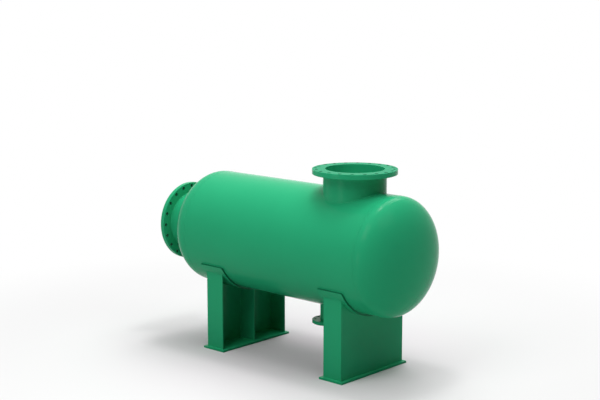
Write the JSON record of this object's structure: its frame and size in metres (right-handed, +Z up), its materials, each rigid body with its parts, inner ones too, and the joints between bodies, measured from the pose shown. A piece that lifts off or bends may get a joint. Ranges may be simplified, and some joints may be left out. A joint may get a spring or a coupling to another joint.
{
  "type": "angle type dirt separator",
  "caption": "Horizontal welded settling vessel on saddles, with a flanged inlet on top, a flanged outlet in one end, a bottom drain and a perforated strainer inside.",
  "frame": {"origin": "on the floor, under the middle of the whole length and width", "axes": "+X along the vessel from the outlet to the closed head, +Y across it, +Z up out of the inlet"},
  "size_m": [2.332, 0.868, 1.478],
  "materials": {
    "green_paint": "semi-gloss",
    "strainer_steel": "brushed"
  },
  "bodies": {
    "root": {"closed_base_plate": "green_paint", "closed_head": "green_paint", "closed_rib_centre": "green_paint", "closed_rib_far": "green_paint", "closed_rib_near": "green_paint", "closed_saddle_web": "green_paint", "closed_wear_plate": "green_paint", "drain_flange": "green_paint", "drain_neck": "green_paint", "inlet_flange": "green_paint", "inlet_neck": "green_paint", "outlet_base_plate": "green_paint", "outlet_flange": "green_paint", "outlet_head": "green_paint", "outlet_neck": "green_paint", "outlet_rib_centre": "green_paint", "outlet_rib_far": "green_paint", "outlet_rib_near": "green_paint", "outlet_saddle_web": "green_paint", "outlet_wear_plate": "green_paint", "shell_course": "green_paint", "strainer_cradle": "strainer_steel", "strainer_end_plate": "strainer_steel", "strainer_mesh": "strainer_steel", "strainer_ring": "strainer_steel", "strainer_tube": "strainer_steel"}
  },
  "joints": []
}
